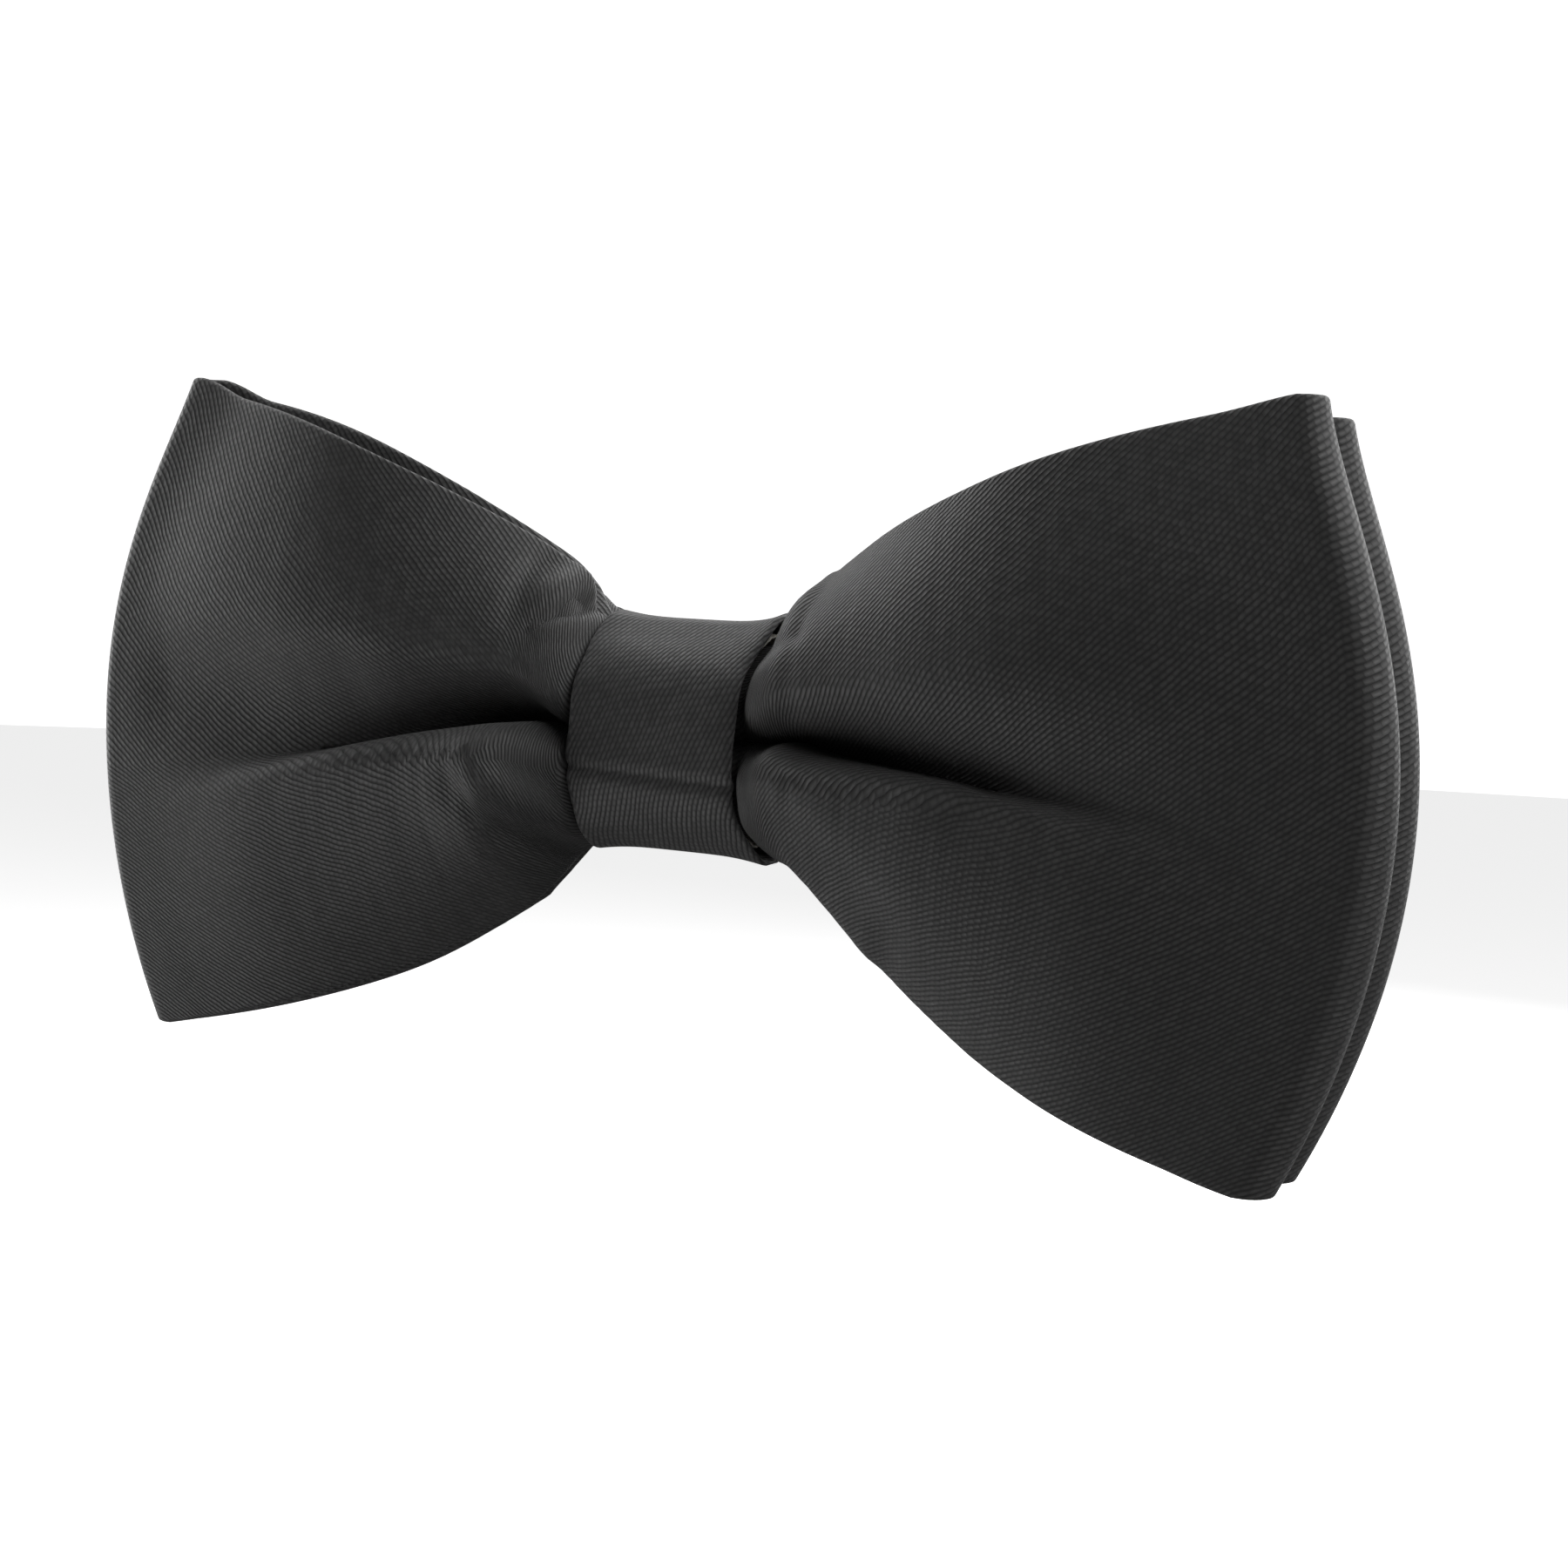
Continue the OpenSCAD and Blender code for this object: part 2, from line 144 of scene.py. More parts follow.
# ---------------------------------------------------------------- materials
def satin(name, slant, pitch, light):
    """Satin whose floats lie in fine rows, pitch apart, at slant degrees to U. Each row is a string of
    short floats, shifted by about half a float from the row beside it. light is the tone of their crowns,
    a painted highlight; the gaps between floats are painted darker, as painted shade."""
    # The darkest tone is painted shade in the gaps between floats.
    float_len, shift, gap_shade_tone, rough = 0.62, 0.46, 0.005, 0.56
    n = Nodes(name)
    uv = n.cloth_uv()
    wander = n.add("ShaderNodeTexNoise", {"Vector": uv, "Scale": 0.25, "Detail": 2.0}).outputs["Color"]
    drift = n.add("ShaderNodeVectorMath", {0: wander, 1: (0.5, 0.5, 0.5)}, operation="SUBTRACT").outputs[0]
    moved = n.add("ShaderNodeVectorMath", {0: drift, 1: (0.6, 0.6, 0.0), 2: uv},
                  operation="MULTIPLY_ADD").outputs[0]
    laid = n.add("ShaderNodeVectorRotate", {"Vector": moved, "Angle": -math.radians(slant)},
                 rotation_type="Z_AXIS").outputs[0]
    xyz = n.add("ShaderNodeSeparateXYZ", {0: laid})

    row = n.math("DIVIDE", xyz.outputs[1], pitch)
    row_no = n.math("FLOOR", row)
    across = n.math("SINE", n.math("MULTIPLY", n.math("FRACT", row), math.pi))
    along = n.math("MULTIPLY_ADD", row_no, shift, n.math("DIVIDE", xyz.outputs[0], float_len))
    float_no = n.math("FLOOR", along)
    dip = n.math("SINE", n.math("MULTIPLY", n.math("FRACT", along), math.pi))
    height = n.math("MULTIPLY", n.math("MULTIPLY_ADD", across, 0.8, 0.2),
                    n.math("MULTIPLY_ADD", dip, 0.3, 0.7))
    place = n.add("ShaderNodeCombineXYZ", {0: float_no, 1: row_no}).outputs[0]
    each = n.add("ShaderNodeTexWhiteNoise", {"Vector": place}, noise_dimensions="2D").outputs[0]
    height = n.math("MULTIPLY", height, n.math("MULTIPLY_ADD", each, 0.3, 0.8))

    cloudy = n.noise(uv, 0.12, 3.0, 0.55)
    fibre = n.noise(n.stretched(laid, (1.5, 9.0, 1.0)), 1.0, 3.0, 0.6)
    # Painted light: the tone follows the floats' height, so crowns are painted lighter (painted highlight)
    # and gaps darker (painted shade); the fibre streaks are the cloth's own.
    tone = n.math("MULTIPLY_ADD", n.math("POWER", height, 1.6), 0.95, n.math("MULTIPLY", fibre, 0.25),
                  clamp=True)
    color = n.mix(tone, grey(gap_shade_tone), grey(light, 0.01))
    color = n.mix(n.ramp(cloudy, 0.35, 0.65, 0.0, 0.22), color, grey(0.022, -0.02))
    roughness = n.math("ADD", n.math("MULTIPLY_ADD", height, -0.12, rough + 0.08),
                       n.math("MULTIPLY", n.math("SUBTRACT", cloudy, 0.5), 0.10))
    lie = n.add("ShaderNodeTangent", direction_type="UV_MAP", uv_map="cloth").outputs[0]
    return n.shader(color, roughness, Normal=n.bump(height, 0.8, 0.00010), Tangent=lie, Anisotropic=0.25,
                    Anisotropic_Rotation=0.25, IOR=1.38, Sheen_Weight=0.08, Sheen_Roughness=0.5)


def canvas(name):
    """Plain-woven stiffener."""
    n = Nodes(name)
    xyz = n.add("ShaderNodeSeparateXYZ", {0: n.cloth_uv()})
    warp, weft = [n.math("SINE", n.math("MULTIPLY", xyz.outputs[i], 9.0)) for i in (0, 1)]
    weave = n.math("MULTIPLY_ADD", n.math("MULTIPLY", warp, weft), 0.5, 0.5)
    color = n.mix(weave, (0.42, 0.40, 0.35, 1), (0.62, 0.60, 0.54, 1))
    roughness = n.math("MULTIPLY_ADD", weave, -0.1, 0.92)
    return n.shader(color, roughness, Normal=n.bump(weave, 0.6, 0.0001), Sheen_Weight=0.2)


def thread(name):
    """Spun thread: fine strands laid at a slant; U runs along it."""
    n = Nodes(name)
    xyz = n.add("ShaderNodeSeparateXYZ", {0: n.cloth_uv()})
    slant = n.math("ADD", n.math("MULTIPLY", xyz.outputs[0], 14.0), n.math("MULTIPLY", xyz.outputs[1], 30.0))
    strand = n.math("MULTIPLY_ADD", n.math("SINE", slant), 0.5, 0.5)
    color = n.mix(strand, grey(0.008), grey(0.03))
    roughness = n.math("MULTIPLY_ADD", strand, -0.15, 0.7)
    return n.shader(color, roughness, Normal=n.bump(strand, 0.5, 0.00005), Sheen_Weight=0.3)


def metal(name, tone, rough, scratch):
    """Plated steel: cloudy polish, fine rolling lines and a few rubbed spots."""
    n = Nodes(name)
    at = n.add("ShaderNodeTexCoord").outputs["Object"]
    lines = n.noise(n.stretched(at, (300.0, 2500.0, 6000.0)), 1.0, 4.0, 0.6)
    cloud = n.noise(at, 220.0, 4.0, 0.6)
    rub = n.ramp(n.noise(at, 900.0, 3.0, 0.7), 0.58, 0.72)
    color = n.mix(n.ramp(cloud, 0.35, 0.7), grey(tone * 0.92, 0.02), grey(tone, 0.02))
    color = n.mix(n.math("MULTIPLY", rub, 0.14), color, grey(tone * 0.6, 0.05))
    roughness = n.math("ADD", n.math("MULTIPLY_ADD", cloud, 0.12, rough), n.math("MULTIPLY", rub, 0.06))
    return n.shader(color, roughness, Normal=n.bump(lines, scratch, 0.00002), Metallic=1.0)


def pale(name, glow):
    """Even white for the floor and the backdrop."""
    return Nodes(name).shader((0.9, 0.9, 0.9, 1), 0.9, Emission_Color=(1, 1, 1, 1), Emission_Strength=glow)


# ---------------------------------------------------------------- mesh helpers
def ease(x):
    t = np.clip(x, 0.0, 1.0)
    return t * t * (3 - 2 * t)


def unit(v):
    return v / np.maximum(np.linalg.norm(v, axis=-1, keepdims=True), 1e-12)


def distance_along(path):
    return np.concatenate([[0], np.cumsum(np.linalg.norm(np.diff(path, axis=0), axis=1))])


def grid_normals(grid):
    return unit(np.cross(np.gradient(grid, axis=0), np.gradient(grid, axis=1)))


def make_mesh(name, points, quads, uvs, material, caps=(), caps_uv=()):
    """An object from points in mm, quads (rows of corner numbers, with a UV for each corner) and caps,
    which are faces of any number of corners."""
    mesh = bpy.data.meshes.new(name)
    loops = np.concatenate([quads.ravel()] + [np.array(cap) for cap in caps]).astype(np.int32)
    counts = np.array([4] * len(quads) + [len(cap) for cap in caps], np.int32)
    starts = np.concatenate([[0], np.cumsum(counts)[:-1]]).astype(np.int32)
    mesh.vertices.add(len(points))
    mesh.vertices.foreach_set("co", (np.asarray(points) * MM).astype(np.float32).ravel())
    mesh.loops.add(len(loops))
    mesh.loops.foreach_set("vertex_index", loops)
    mesh.polygons.add(len(counts))
    mesh.polygons.foreach_set("loop_start", starts)
    mesh.polygons.foreach_set("loop_total", counts)
    layer = mesh.uv_layers.new(name="cloth")
    flat = np.concatenate([np.asarray(corners).reshape(-1, 2) for corners in (uvs, *caps_uv)])
    layer.data.foreach_set("uv", flat.astype(np.float32).ravel())
    mesh.update(calc_edges=True)
    mesh.validate()
    mesh.polygons.foreach_set("use_smooth", [True] * len(mesh.polygons))
    mesh.materials.append(material)
    obj = bpy.data.objects.new(name, mesh)
    bpy.context.collection.objects.link(obj)
    return obj


def wall_quads(stations, sides, base=0, inward=False):
    """The faces between each closed ring and the next, for rings of points numbered from base."""
    k, j = np.meshgrid(np.arange(stations - 1), np.arange(sides), indexing="ij")
    a = base + k * sides + j
    b = base + k * sides + (j + 1) % sides
    quads = np.stack([a, b, b + sides, a + sides], -1).reshape(-1, 4)
    return quads[:, ::-1] if inward else quads


def wall_uvs(u, v, inward=False):
    """UVs for wall_quads, from a row of u and v per ring; the last column is the first come round again."""
    corners = ((u[:-1, :-1], v[:-1, :-1]), (u[:-1, 1:], v[:-1, 1:]),
               (u[1:, 1:], v[1:, 1:]), (u[1:, :-1], v[1:, :-1]))
    uvs = np.stack([np.stack(corner, -1) for corner in corners], 2).reshape(-1, 4, 2)
    return uvs[:, ::-1] if inward else uvs


def end_caps(stations, sides, base=0, inward=False):
    """The faces that close the two ends of wall_quads."""
    first = [base + i for i in range(sides)]
    last = [base + (stations - 1) * sides + i for i in range(sides)]
    return [first, last[::-1]] if inward else [first[::-1], last]


def end_uvs(sides, step=0.1):
    return [[(0, i * step) for i in range(sides)]] * 2


# ---------------------------------------------------------------- the bow's sizes
BOW_W = 118.5
END_H = 54.0           # height of the ends
END_BULGE = 7.25       # how far the middle of an end stands out past its corners
LOOP_D = 4.5           # depth of one loop at its end
BAND_T = 0.8           # thickness of a pressed sleeve
SATIN_T = 0.18
PINCH_H = 12.0         # height of the pleated middle
KNOT_W = 16.0
RIBBON_T = 0.7
THREAD_D = 0.4
PLATE_T = 0.8
GAP = 0.1              # clearance between one layer of the knot and the next
LIFT = 0.9             # how far the pleated middle stands above the clip's middle
SEAM_GAP = 0.3         # gap between a sleeve's two ends, behind the knot
WING = (BOW_W - KNOT_W) / 2
END_HALF = (END_H - BAND_T) / 2
PINCH_HALF = PINCH_H / 2

# How the wings run from the knot (share 0) to the ends (share 1)
RISE = 0.162           # steady rise of the edges, as a slope
LEVEL_OFF = 2.35       # power with which they level off
EDGE_LEAN = 60.0       # degrees that the edges curl at the knot
VALLEY_SHARE = 0.46    # share of each half that is the centre pleat's flank
FLAT_BY, PARTED_BY = 0.95, 0.85    # where the pleat is flat, and where the layers are fully parted
LAYER_PITCH = 0.93     # step from layer to layer in the pleated middle
NEST_AT = 1.22         # layer number at which the bundle is centred
PUFF = (3.0, 0.5, 0.5, 0.3)        # how far each layer puffs out, front to back
SWEEP = 0.2            # how far the wings come forward
SWELL_Y, SWELL_Z = 0.50, 0.18      # how much the cloth springs out beside the ribbon
PINCH_STEP = (1.0, -0.2, -1.4, -2.3)    # how much lower each layer's top stands at the knot
REAR_DIP = (2.0, 0.8)  # how much lower the rear loop stands, above and below
FRONT_EXTRA = 0.5      # how much longer the front loop is
REAR_CORNER = 0.85     # how much further in the rear loop's bulge leaves its upper corners
CORNER_PRESS = (0.30, 0.05)        # how far a loop is pressed flat at its upper and lower corners

# Each pair is for the upper and the lower half. flares: how high a half springs up beside the knot, by
# flare_by of the wing; bellies: its extra height halfway; start and drop: how high the centre pleat
# starts, and how far it drops by the end; corners: how far the end's corners are drawn out.
WINGS = {
    "right": dict(flares=(2.9, -0.5), flare_by=0.10, bellies=(0.15, 0.3), start=-0.9, drop=0.5,
                  corners=(0.3, 0.2)),
    "left": dict(flares=(1.9, 3.8), flare_by=0.14, bellies=(1.4, 0.0), start=0.7, drop=6.2,
                 corners=(1.0, 0.0)),
}
LEFT_SHARE = 0.975     # length of the left wing against the right one

# Folds in the face of the front loop: lines from (x outwards, z) to (x, z), with a width and a height
FOLDS = {
    "right": [(8.5, 9.6, 12.5, 11.8, 1.0, 0.35), (9.5, 7.4, 13.0, 9.2, 0.9, -0.35),
              (9.6, -4.8, 19.0, -13.0, 1.5, 0.50), (10.5, -10.5, 24.0, -21.5, 3.4, -0.6),
              (14.0, -4.6, 22.0, -11.5, 2.2, -0.40), (30.0, -2.4, 50.0, -4.6, 2.2, -0.35)],
    "left": [(11.2, 12.2, 12.0, 11.4, 1.9, 0.75), (8.4, 10.2, 10.6, 10.2, 0.7, -0.45),
             (10.6, 10.2, 12.6, 8.4, 0.7, -0.50), (8.4, 9.0, 11.4, 8.2, 0.7, 0.40),
             (14.6, 13.6, 14.2, 8.6, 0.9, -0.35), (12.4, -3.6, 8.0, -7.2, 1.3, 0.75),
             (16.0, -4.0, 11.0, -8.4, 1.6, -0.55), (11.4, -1.6, 9.0, -3.8, 1.3, -0.25),
             (30.0, 3.0, 50.0, 2.0, 4.0, -0.6)],
}
WAVES, WAVE_H, WAVE_SEED = 7, 0.035, 5    # long shallow waves in the front loop's cloth

ACROSS = 46            # steps from the centre pleat to an edge
ALONG = 80             # steps along a wing
FOLD_STEPS = 14        # steps round an end fold
SLEEVE_RIM = 6         # steps round a sleeve's edge
RIBBON_ACROSS, RIBBON_RIM = 28, 5


# ---------------------------------------------------------------- the bow's shape
def half_height(s, flare, flare_by, belly):
    """From the centre line to an edge, at share s of a wing."""
    level = END_HALF - PINCH_HALF - flare - RISE * WING
    return (PINCH_HALF + flare * ease(s / flare_by) + RISE * WING * s
            + belly * math.sin(math.pi * s ** 0.8) + level * (1 - (1 - s) ** LEVEL_OFF))


def turn(c, s, upper):
    """Turn of the cloth from upright, at share c of the way from the centre pleat to an edge. Above, the
    pleat opens gradually; below, it stays a crisp step that only gets shallower."""
    crisp = 1 - 0.55 * ease(s / 0.08) * (1 - ease((s - 0.25) / 0.45))
    if upper:
        share = VALLEY_SHARE
        lean = (78 - 20 * ease(s / 0.12)) * (1 - ease(s / FLAT_BY)) ** 0.8
    else:
        share = VALLEY_SHARE - 0.30 * ease(s / 0.6)
        lean = (76 + 20 * ease(s / 0.08)) * (1 - ease((s - 0.4) / 0.5))
    curl = 0.92 * (1 - s) ** 1.6 + 0.08 * (1 - s)
    inner = lean * np.maximum(np.sin(np.pi * np.clip(c / share, 0, 1)), 0) ** crisp
    outer = -EDGE_LEAN * curl * np.sin(np.pi / 2 * np.clip((c - share) / (1 - share), 0, 1))
    return np.radians(np.where(c < share, inner, outer))


def half_section(s, height, upper):
    """From the centre pleat to an edge: back, up and turn at each step, and the cloth's width."""
    c = np.linspace(0, 1, ACROSS + 1)
    mid = turn((c[1:] + c[:-1]) / 2, s, upper)
    y = np.concatenate([[0], np.cumsum(-np.sin(mid))]) / ACROSS
    z = np.concatenate([[0], np.cumsum(np.cos(mid))]) / ACROSS
    width = height / z[-1]
    return y * width, z * width, turn(c, s, upper), width


def layer_grid(layer, flares, flare_by, bellies, start, drop, corners):
    """One of the four layers of the right-hand wing, front to back: points (station, step across, xyz),
    the cloth's width at each station, and where the stations are along X."""
    front = layer < 2
    side = -1 if front else 1
    x_at = np.concatenate([[SEAM_GAP / 2, KNOT_W / 4], KNOT_W / 2 - 1.2 + 0.2 * np.arange(6),
                           KNOT_W / 2 + WING * np.linspace(0, 1, ALONG + 1) ** 1.12])
    rows, widths = [], []
    for x0 in x_at:
        s = max(0.0, (x0 - KNOT_W / 2) / WING)
        filled = ease((x0 - KNOT_W / 2 + 0.8) / 1.6)    # the cloth springs out at the ribbon's edge
        low = start * ease(s / 0.16) - drop * s
        top_end, bottom_end = [rise * ease((s - 0.85) / 0.15) for rise in corners]
        dip = 0.0 if front else ease(s / 0.4) * (1 - 0.5 * ease((s - 0.5) / 0.5))
        top_h = (half_height(s, flares[0], flare_by, bellies[0]) - REAR_DIP[0] * dip
                 - PINCH_STEP[layer] * (1 - ease(s / 0.1)) + (top_end if front else 0.0))
        bottom_h = half_height(s, flares[1], flare_by, bellies[1]) - REAR_DIP[1] * dip + bottom_end

        y_up, z_up, turn_up, width_up = half_section(s, top_h - low, True)
        y_down, z_down, turn_down, width_down = half_section(s, bottom_h + low, False)
        y = np.concatenate([y_down[:0:-1], y_up]) - (y_up.mean() + y_down.mean()) / 2
        z = np.concatenate([-z_down[:0:-1], z_up]) + low
        lean = np.concatenate([-turn_down[:0:-1], turn_up])

        nested = (layer - NEST_AT) * LAYER_PITCH * (1 - ease(s / PARTED_BY))
        high = z + nested * np.sin(lean)
        out = np.minimum(np.abs(high) / np.where(z > 0, top_h, bottom_h), 1.1)
        high = high * (1 + SWELL_Z * filled * (1 - ease(s / 0.12))) + LIFT * (1 - ease(s / 0.5))

        press = np.where(z > 0, *CORNER_PRESS) * ease((s - 0.45) / 0.5) * out ** 3
        curve = np.where(z > 0, 1.25 * out ** 2 - 0.25 * out ** 6, out ** 2)
        bulge = END_BULGE - np.where(z > 0, 0.0 if front else REAR_CORNER, 0.0)
        x = (x0 - s * LOOP_D / 2 - bulge * s ** 1.4 * curve + s * press * (LOOP_D - BAND_T) / 2
             + (FRONT_EXTRA * s ** 2 if front else 0.0))

        depth = (LOOP_D - BAND_T) * (1 - press)
        rest_at = LOOP_D - BAND_T / 2 + 0.1
        parted = (rest_at - (2 * depth + BAND_T + 0.2), rest_at - (depth + BAND_T + 0.2),
                  rest_at - depth, rest_at)[layer]
        puffed = PUFF[layer] * math.sin(math.pi * s ** 0.8) ** 1.2 if 0 < s < 1 else 0.0
        back = ((y + nested * np.cos(lean)) * (1 + SWELL_Y * filled * (1 - ease(s / 0.3)))
                + parted * ease(s / PARTED_BY) + side * puffed - SWEEP * ease(s / 0.35))
        rows.append(np.stack([x, back, high], -1))
        widths.append((width_up + width_down) / 2)
    return np.array(rows), np.array(widths), x_at


def bundle_outline():
    """Points (back, up) round the outside of the pleated middle, with a little clearance."""
    off = BAND_T / 2 + GAP
    points = []
    for layer in range(4):
        section = layer_grid(layer, **WINGS["right"])[0][0, :, 1:] - np.array([0.0, LIFT])
        along = unit(np.gradient(section, axis=0))
        normal = np.stack([along[:, 1], -along[:, 0]], -1)
        points += [section + off * normal, section - off * normal,
                   section[[0, -1]] + np.array([[0, -off], [0, off]])]
    return np.concatenate(points)


# The knot's layers, as distances out from the bundle's outline
BUNDLE = bundle_outline()
BUNDLE_BACK = BUNDLE[:, 0].max()
LINING_OUT = THREAD_D + GAP + 0.3
WRAP_OUT = LINING_OUT + GAP
LAP_OUT = WRAP_OUT + 2 * RIBBON_T       # behind, where the ribbon's ends lap
LAP_HALF = 4.8
BUNDLE_Y = -PLATE_T - GAP - LAP_OUT - BUNDLE_BACK


def ridge(x, z, x0, z0, x1, z1, width, height):
    """A soft ridge, or a furrow if height is negative, along the line from (x0, z0) to (x1, z1)."""
    dx, dz = x1 - x0, z1 - z0
    t = np.clip(((x - x0) * dx + (z - z0) * dz) / (dx * dx + dz * dz), 0, 1)
    return height * np.exp(-((x - x0 - t * dx) ** 2 + (z - z0 - t * dz) ** 2) / width ** 2)


def creases(wing, x, z, s):
    """How far the front loop's cloth stands out of its smooth shape."""
    d = sum(ridge(x, z, *fold) for fold in FOLDS[wing])
    rng = np.random.default_rng(WAVE_SEED)
    for _ in range(WAVES):
        along, across, phase = rng.uniform(0.06, 0.2), rng.uniform(-0.3, 0.3), rng.uniform(0, 6.28)
        d += WAVE_H * np.sin(along * x + across * z + phase)
    return d * ease(s / 0.03) * (1 - 0.8 * ease((s - 0.86) / 0.14))


def end_fold(front, back):
    """Round the loop's end, from the edge of the back panel to the edge of the front one."""
    middle, radius = (front + back) / 2, (back[:, 1] - front[:, 1])[:, None] / 2
    turns = np.radians(180.0 * np.arange(FOLD_STEPS - 1, 0, -1) / FOLD_STEPS)
    return np.array([middle + radius * np.array([math.sin(t), -math.cos(t), 0.0]) for t in turns])


def loop_surface(loop):
    """Middle surface of a whole sleeve, from the seam behind, round both end folds, back to the seam; and
    the cloth's width at each station."""
    halves = {}
    for wing, form in WINGS.items():
        back, widths, x_at = layer_grid(2 * loop + 1, **form)
        front = layer_grid(2 * loop, **form)[0]
        if loop == 0:
            s = np.clip((x_at - KNOT_W / 2) / WING, 0, 1)[:, None]
            front = front + grid_normals(front) * creases(wing, front[..., 0], front[..., 2], s)[..., None]
        fold = end_fold(front[-1], back[-1])
        p = np.concatenate([back, fold, front[::-1]])
        if wing == "left":
            p[..., 0] -= (1 - LEFT_SHARE) * np.maximum(p[..., 0] - KNOT_W / 2, 0)
            p = p * np.array([-1.0, 1.0, 1.0])
        halves[wing] = p, np.concatenate([widths, np.full(len(fold), widths[-1]), widths[::-1]])
    (right, right_widths), (left, left_widths) = halves["right"], halves["left"]
    return np.concatenate([right, left[::-1]]), np.concatenate([right_widths, left_widths[::-1]])


def pressed_by_plate(p):
    """Keeps a sleeve's middle surface in front of the clip plate, and frees it outside the plate's edges."""
    soft, free_by, free_over = 0.25, 4.0, 5.0
    low, high = np.array(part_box("clip_plate")) / MM
    past_end = np.abs(p[..., 0]) - high[0]
    past_edge = np.maximum(p[..., 2] - high[2], low[2] - p[..., 2])
    outside = np.maximum(past_end, past_edge)
    limit = low[1] - GAP - BAND_T / 2 + free_by * ease((outside - 0.5) / free_over)
    p[..., 1] = -soft * np.logaddexp(-p[..., 1] / soft, -limit / soft)
    return p


def sleeve_rings(p, normals, t):
    """Closed rings at distance t from a sleeve's middle surface, with rounded edges."""
    up, down = unit(p[:, -1] - p[:, -2]), unit(p[:, 0] - p[:, 1])
    turns = np.pi * np.arange(1, SLEEVE_RIM) / SLEEVE_RIM
    top = [p[:, -1] + t * (math.cos(a) * normals[:, -1] + math.sin(a) * up) for a in turns]
    bottom = [p[:, 0] + t * (-math.cos(a) * normals[:, 0] + math.sin(a) * down) for a in turns]
    return np.concatenate([p + t * normals, np.stack(top, 1), (p - t * normals)[:, ::-1],
                           np.stack(bottom, 1)], 1)


def sleeve_u(p, sides):
    """Distance along the sleeve's centre pleat, for each point of its rings."""
    return np.repeat(distance_along(p[:, p.shape[1] // 2])[:, None], sides + 1, 1)


def sleeve_v(widths, steps, t):
    """Distance round the pressed sleeve, for each point of its rings."""
    c = np.linspace(-1, 1, steps)
    edge = np.pi * t * np.arange(1, SLEEVE_RIM) / SLEEVE_RIM
    rows = []
    for half in 0.5 * widths + 0.5 * widths.max():
        rows.append(np.concatenate([c * half, half + edge, 2 * half + np.pi * t - c[::-1] * half,
                                    3 * half + np.pi * t + edge, [3 * half + 2 * np.pi * t]]))
    return np.array(rows)


def every_third(count):
    """Every third station, with the last one."""
    return np.unique(np.concatenate([np.arange(0, count, 3), [count - 1]]))


def make_bow(loop, name, material):
    """A hollow sleeve laid in a loop, and its form: middle surface, normals and widths."""
    p, widths = loop_surface(loop)
    p = pressed_by_plate(p + np.array([0.0, BUNDLE_Y, 0.0]))
    normals = grid_normals(p)
    keep = every_third(len(p))
    outer = sleeve_rings(p, normals, BAND_T / 2)
    inner = sleeve_rings(p, normals, BAND_T / 2 - SATIN_T)[keep]
    sides = outer.shape[1]
    base = len(outer) * sides
    u = sleeve_u(p, sides)
    mirrored = np.where(p[:, p.shape[1] // 2, 0] > 0, -1.0, 1.0)[:, None]
    v = sleeve_v(widths, p.shape[1], BAND_T / 2) * mirrored
    quads = [wall_quads(len(outer), sides), wall_quads(len(inner), sides, base, True)]
    uvs = [wall_uvs(u, v), wall_uvs(u[keep], v[keep], True)]
    j = np.arange(sides)
    after = (j + 1) % sides
    for station, inner_station, flip in ((0, 0, False), (len(outer) - 1, len(inner) - 1, True)):
        at, inner_at = station * sides, base + inner_station * sides
        hem = np.stack([at + j, inner_at + j, inner_at + after, at + after], -1)
        here, there = u[station, :-1], u[station, :-1] + 0.2
        v_here, v_after = v[station, :-1], v[station, 1:]
        corners = ((here, v_here), (there, v_here), (there, v_after), (here, v_after))
        hem_uvs = np.stack([np.stack(corner, -1) for corner in corners], 1)
        quads.append(hem[:, ::-1] if flip else hem)
        uvs.append(hem_uvs[:, ::-1] if flip else hem_uvs)
    points = np.concatenate([outer.reshape(-1, 3), inner.reshape(-1, 3)])
    obj = make_mesh(name, points, np.concatenate(quads), np.concatenate(uvs), material)
    return obj, (p, normals, widths)


def make_stiffener(name, form, material):
    """The band inside a sleeve."""
    p, normals, widths = form
    keep = every_third(len(p))
    t = BAND_T / 2 - SATIN_T - 0.07
    rings = sleeve_rings(p[keep], normals[keep], t)
    stations, sides = rings.shape[:2]
    uvs = wall_uvs(sleeve_u(p, sides)[keep], sleeve_v(widths[keep], p.shape[1], t))
    return make_mesh(name, rings.reshape(-1, 3), wall_quads(stations, sides), uvs, material,
                     end_caps(stations, sides), end_uvs(sides, 1.0))


# ---------------------------------------------------------------- tubes for thread and wire
def resample(path, step):
    at = distance_along(path)
    even = np.linspace(0, at[-1], max(3, int(round(at[-1] / step)) + 1))
    return np.stack([np.interp(even, at, path[:, i]) for i in range(3)], -1)


def smooth_path(points, step):
    """Catmull-Rom curve through the points, sampled evenly."""
    p = np.asarray(points, float)
    q = np.vstack([2 * p[0] - p[1], p, 2 * p[-1] - p[-2]])
    out = []
    for a, b, c, d in zip(q, q[1:], q[2:], q[3:]):
        for t in np.linspace(0, 1, 12, endpoint=False):
            out.append(0.5 * (2 * b + (c - a) * t + (2 * a - 5 * b + 4 * c - d) * t ** 2
                              + (3 * b - a - 3 * c + d) * t ** 3))
    return resample(np.array(out + [p[-1]]), step)


